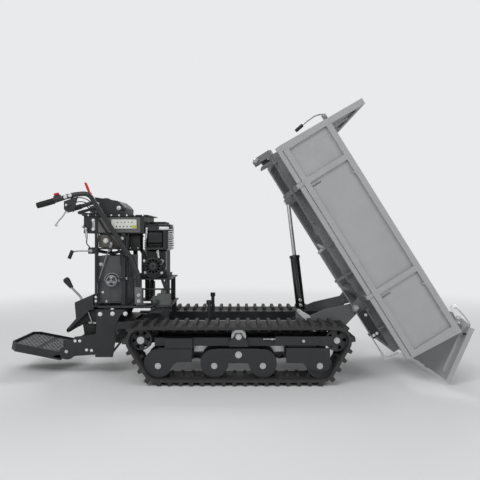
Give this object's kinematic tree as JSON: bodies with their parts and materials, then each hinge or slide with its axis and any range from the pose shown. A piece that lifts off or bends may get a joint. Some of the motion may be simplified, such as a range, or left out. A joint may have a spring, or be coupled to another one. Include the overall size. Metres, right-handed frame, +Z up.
{
  "type": "tracked power carrier",
  "caption": "Walk-behind tracked power carrier with a hydraulic tipping load bed, engine and console on a front deck, bogie tracks and a folding operator platform.",
  "frame": {"origin": "on the ground, under the middle of the machine's overall box with the load bed tipped", "axes": "+X towards the tailgate, +Y to the operator's right when facing the bed, +Z up"},
  "size_m": [3.2682, 1, 1.942],
  "materials": {
    "rubber_track": "matt moulded rubber",
    "black_paint": "satin powder coat",
    "dark_wheel_steel": "satin paint",
    "zinc_steel": "zinc plated",
    "bright_steel": "machined",
    "grey_bed_paint": "satin powder coat",
    "grey_frame_paint": "satin powder coat",
    "dark_cast_alloy": "sand cast, painted",
    "pump_alloy": "cast",
    "tank_plastic": "moulded",
    "black_plastic": "moulded",
    "dark_gloss_plastic": "moulded",
    "panel_grey": "moulded",
    "grip_rubber": "matt",
    "belt_rubber": "matt",
    "red_plastic": "moulded",
    "chrome_rod": "hard chrome, polished",
    "gloss_black_paint": "gloss enamel"
  },
  "bodies": {
    "root": {"rubber_track_left": "rubber_track", "rubber_track_right": "rubber_track", "track_frame_left": "black_paint", "track_frame_right": "black_paint", "chassis_frame": "black_paint", "front_deck": "black_paint", "lever_housing": "black_paint", "hydraulic_tank": "dark_wheel_steel", "hydraulic_pump": "pump_alloy", "engine_block": "dark_cast_alloy", "blower_housing": "dark_gloss_plastic", "fuel_tank": "tank_plastic", "muffler": "black_paint", "air_cleaner": "black_plastic", "drive_belt": "belt_rubber", "gearbox": "dark_cast_alloy", "console_box": "black_paint", "console_panel": "panel_grey", "handlebar": "black_paint", "handle_grips": "grip_rubber", "control_cables": "black_plastic"},
    "bogie_left": {"bogie_left": "black_paint"},
    "road_wheel_1_left": {"road_wheel_1_left": "dark_wheel_steel"},
    "road_wheel_2_left": {"road_wheel_2_left": "dark_wheel_steel"},
    "road_wheel_3_left": {"road_wheel_3_left": "dark_wheel_steel"},
    "road_wheel_4_left": {"road_wheel_4_left": "dark_wheel_steel"},
    "drive_left": {"drive_shaft_left": "zinc_steel", "sprocket_left": "dark_wheel_steel"},
    "idler_left": {"idler_left": "dark_wheel_steel"},
    "carrier_roller_left": {"carrier_roller_left": "bright_steel"},
    "bogie_right": {"bogie_right": "black_paint"},
    "road_wheel_1_right": {"road_wheel_1_right": "dark_wheel_steel"},
    "road_wheel_2_right": {"road_wheel_2_right": "dark_wheel_steel"},
    "road_wheel_3_right": {"road_wheel_3_right": "dark_wheel_steel"},
    "road_wheel_4_right": {"road_wheel_4_right": "dark_wheel_steel"},
    "drive_right": {"drive_shaft_right": "zinc_steel", "sprocket_right": "dark_wheel_steel"},
    "idler_right": {"idler_right": "dark_wheel_steel"},
    "carrier_roller_right": {"carrier_roller_right": "bright_steel"},
    "engine_pulley": {"engine_pulley": "bright_steel"},
    "gearbox_pulley": {"gearbox_pulley": "bright_steel"},
    "fuel_cap": {"fuel_cap": "black_plastic"},
    "bed": {"bed_frame": "grey_frame_paint", "bed_tray": "grey_bed_paint"},
    "cylinder_barrel": {"cylinder_barrel": "gloss_black_paint"},
    "cylinder_rod": {"cylinder_rod": "chrome_rod"},
    "side_left": {"side_panel_left": "grey_bed_paint"},
    "side_right": {"side_panel_right": "grey_bed_paint"},
    "tailgate": {"tailgate": "grey_bed_paint"},
    "release_lever": {"release_lever": "zinc_steel"},
    "latch_crank": {"latch_crank": "zinc_steel"},
    "latch_rod": {"latch_rod": "zinc_steel"},
    "standing_platform": {"standing_platform": "black_paint"},
    "shift_lever": {"shift_lever": "black_plastic"},
    "valve_lever": {"valve_lever": "black_plastic"},
    "throttle_lever": {"throttle_lever": "red_plastic"},
    "clutch_lever_left": {"clutch_lever_left": "zinc_steel"},
    "clutch_lever_right": {"clutch_lever_right": "zinc_steel"},
    "kill_switch": {"kill_switch": "red_plastic"},
    "lock_lever": {"lock_lever": "zinc_steel"}
  },
  "joints": [
    {"name": "bogie_rock_left", "type": "hinge", "parent": "root", "child": "bogie_left", "pos_m": [0.0452, -0.385, 0.2074], "axis": [0, 1, 0], "range_deg": [-5, 5], "deforming": ["rubber_track_left"]},
    {"name": "road_wheel_1_left_spin", "type": "hinge", "parent": "root", "child": "road_wheel_1_left", "pos_m": [-0.5018, -0.385, 0.1314], "axis": [0, 1, 0], "continuous": true},
    {"name": "road_wheel_2_left_spin", "type": "hinge", "parent": "bogie_left", "child": "road_wheel_2_left", "pos_m": [-0.1198, -0.385, 0.1314], "axis": [0, 1, 0], "continuous": true},
    {"name": "road_wheel_3_left_spin", "type": "hinge", "parent": "bogie_left", "child": "road_wheel_3_left", "pos_m": [0.2102, -0.385, 0.1314], "axis": [0, 1, 0], "continuous": true},
    {"name": "road_wheel_4_left_spin", "type": "hinge", "parent": "root", "child": "road_wheel_4_left", "pos_m": [0.5972, -0.385, 0.1314], "axis": [0, 1, 0], "continuous": true},
    {"name": "sprocket_left_spin", "type": "hinge", "parent": "root", "child": "drive_left", "pos_m": [-0.6208, -0.385, 0.304], "axis": [0, 1, 0], "continuous": true},
    {"name": "idler_left_spin", "type": "hinge", "parent": "root", "child": "idler_left", "pos_m": [0.7132, -0.385, 0.304], "axis": [0, 1, 0], "continuous": true},
    {"name": "carrier_roller_left_spin", "type": "hinge", "parent": "root", "child": "carrier_roller_left", "pos_m": [0.0462, -0.385, 0.3296], "axis": [0, 1, 0], "continuous": true},
    {"name": "bogie_rock_right", "type": "hinge", "parent": "root", "child": "bogie_right", "pos_m": [0.0452, 0.385, 0.2074], "axis": [0, 1, 0], "range_deg": [-5, 5], "deforming": ["rubber_track_right"]},
    {"name": "road_wheel_1_right_spin", "type": "hinge", "parent": "root", "child": "road_wheel_1_right", "pos_m": [-0.5018, 0.385, 0.1314], "axis": [0, 1, 0], "continuous": true},
    {"name": "road_wheel_2_right_spin", "type": "hinge", "parent": "bogie_right", "child": "road_wheel_2_right", "pos_m": [-0.1198, 0.385, 0.1314], "axis": [0, 1, 0], "continuous": true},
    {"name": "road_wheel_3_right_spin", "type": "hinge", "parent": "bogie_right", "child": "road_wheel_3_right", "pos_m": [0.2102, 0.385, 0.1314], "axis": [0, 1, 0], "continuous": true},
    {"name": "road_wheel_4_right_spin", "type": "hinge", "parent": "root", "child": "road_wheel_4_right", "pos_m": [0.5972, 0.385, 0.1314], "axis": [0, 1, 0], "continuous": true},
    {"name": "sprocket_right_spin", "type": "hinge", "parent": "root", "child": "drive_right", "pos_m": [-0.6208, 0.385, 0.304], "axis": [0, 1, 0], "continuous": true},
    {"name": "idler_right_spin", "type": "hinge", "parent": "root", "child": "idler_right", "pos_m": [0.7132, 0.385, 0.304], "axis": [0, 1, 0], "continuous": true},
    {"name": "carrier_roller_right_spin", "type": "hinge", "parent": "root", "child": "carrier_roller_right", "pos_m": [0.0462, 0.385, 0.3296], "axis": [0, 1, 0], "continuous": true},
    {"name": "engine_pulley_spin", "type": "hinge", "parent": "root", "child": "engine_pulley", "pos_m": [-0.5848, 0.146, 0.792], "axis": [0, 1, 0], "continuous": true},
    {"name": "gearbox_pulley_spin", "type": "hinge", "parent": "root", "child": "gearbox_pulley", "pos_m": [-0.5848, 0.146, 0.401], "axis": [0, 1, 0], "continuous": true},
    {"name": "fuel_cap_turn", "type": "hinge", "parent": "root", "child": "fuel_cap", "pos_m": [-0.9098, 0.24, 1.04], "axis": [0, 0, 1], "range_deg": [0, 90]},
    {"name": "bed_tilt", "type": "hinge", "parent": "root", "child": "bed", "pos_m": [0.8958, 0, 0.49], "axis": [0, 1, 0], "range_deg": [-58, 0]},
    {"name": "cylinder_swing", "type": "hinge", "parent": "root", "child": "cylinder_barrel", "pos_m": [0.5362, 0, 0.364], "axis": [0, 1, 0], "range_deg": [-68.54, 0.2]},
    {"name": "cylinder_stroke", "type": "slide", "parent": "cylinder_barrel", "child": "cylinder_rod", "axis": [-0.1174, 0, 0.9931], "range_m": [-0.3459, 0.001]},
    {"name": "side_left_widening", "type": "slide", "parent": "bed", "child": "side_left", "axis": [0, -1, 0], "range_m": [0, 0.2]},
    {"name": "side_right_widening", "type": "slide", "parent": "bed", "child": "side_right", "axis": [0, 1, 0], "range_m": [0, 0.2]},
    {"name": "tailgate_swing", "type": "hinge", "parent": "bed", "child": "tailgate", "pos_m": [1.5272, 0, 0.46404], "axis": [0, 1, 0], "range_deg": [-50, 37.9]},
    {"name": "release_lever_pull", "type": "hinge", "parent": "bed", "child": "release_lever", "pos_m": [0.64111, -0.4, 1.84963], "axis": [0, 1, 0], "range_deg": [0, 25], "stiffness_Nm_per_rad": 4, "springref_deg": -17.19},
    {"name": "latch_crank_turn", "type": "hinge", "parent": "bed", "child": "latch_crank", "pos_m": [0.6495, -0.294, 0.92568], "axis": [0, 1, 0], "range_deg": [0, 25]},
    {"name": "latch_rod_slide", "type": "slide", "parent": "bed", "child": "latch_rod", "axis": [0.5299, 0, -0.848], "range_m": [-0.0185, 0]},
    {"name": "platform_fold", "type": "hinge", "parent": "root", "child": "standing_platform", "pos_m": [-1.2018, 0, 0.178], "axis": [0, 1, 0], "range_deg": [0, 60]},
    {"name": "shift_lever_throw", "type": "hinge", "parent": "root", "child": "shift_lever", "pos_m": [-1.0948, -0.182, 0.49], "axis": [0, 1, 0], "range_deg": [-20, 20]},
    {"name": "valve_lever_throw", "type": "hinge", "parent": "root", "child": "valve_lever", "pos_m": [-1.0308, -0.225, 0.907], "axis": [0, 1, 0], "range_deg": [-15, 15], "stiffness_Nm_per_rad": 8},
    {"name": "throttle_lever_throw", "type": "hinge", "parent": "root", "child": "throttle_lever", "pos_m": [-1.0288, -0.263, 1.318], "axis": [0, 1, 0], "range_deg": [-25, 25]},
    {"name": "clutch_lever_left_squeeze", "type": "hinge", "parent": "root", "child": "clutch_lever_left", "pos_m": [-1.1818, -0.29, 1.208], "axis": [0, 1, 0], "range_deg": [0, 22], "stiffness_Nm_per_rad": 6, "springref_deg": -14.32},
    {"name": "clutch_lever_right_squeeze", "type": "hinge", "parent": "root", "child": "clutch_lever_right", "pos_m": [-1.1818, 0.29, 1.208], "axis": [0, 1, 0], "range_deg": [0, 22], "stiffness_Nm_per_rad": 6, "springref_deg": -14.32},
    {"name": "kill_switch_press", "type": "slide", "parent": "root", "child": "kill_switch", "axis": [0.2706, 0, -0.9627], "range_m": [0, 0.003], "stiffness_N_per_m": 800, "springref_m": -0.003},
    {"name": "lock_lever_turn", "type": "hinge", "parent": "root", "child": "lock_lever", "pos_m": [0.4782, -0.234, 0.468], "axis": [0, 1, 0], "range_deg": [-60, 0]}
  ],
  "couplings": [
    {"joint": "engine_pulley_spin", "follows": "gearbox_pulley_spin", "ratio": 1.3448},
    {"joint": "cylinder_swing", "follows": "bed_tilt", "ratio": 1.1782},
    {"joint": "cylinder_stroke", "follows": "bed_tilt", "m_per_rad": 0.34073},
    {"joint": "latch_crank_turn", "follows": "release_lever_pull", "ratio": 1},
    {"joint": "latch_rod_slide", "follows": "release_lever_pull", "m_per_rad": -0.042}
  ]
}
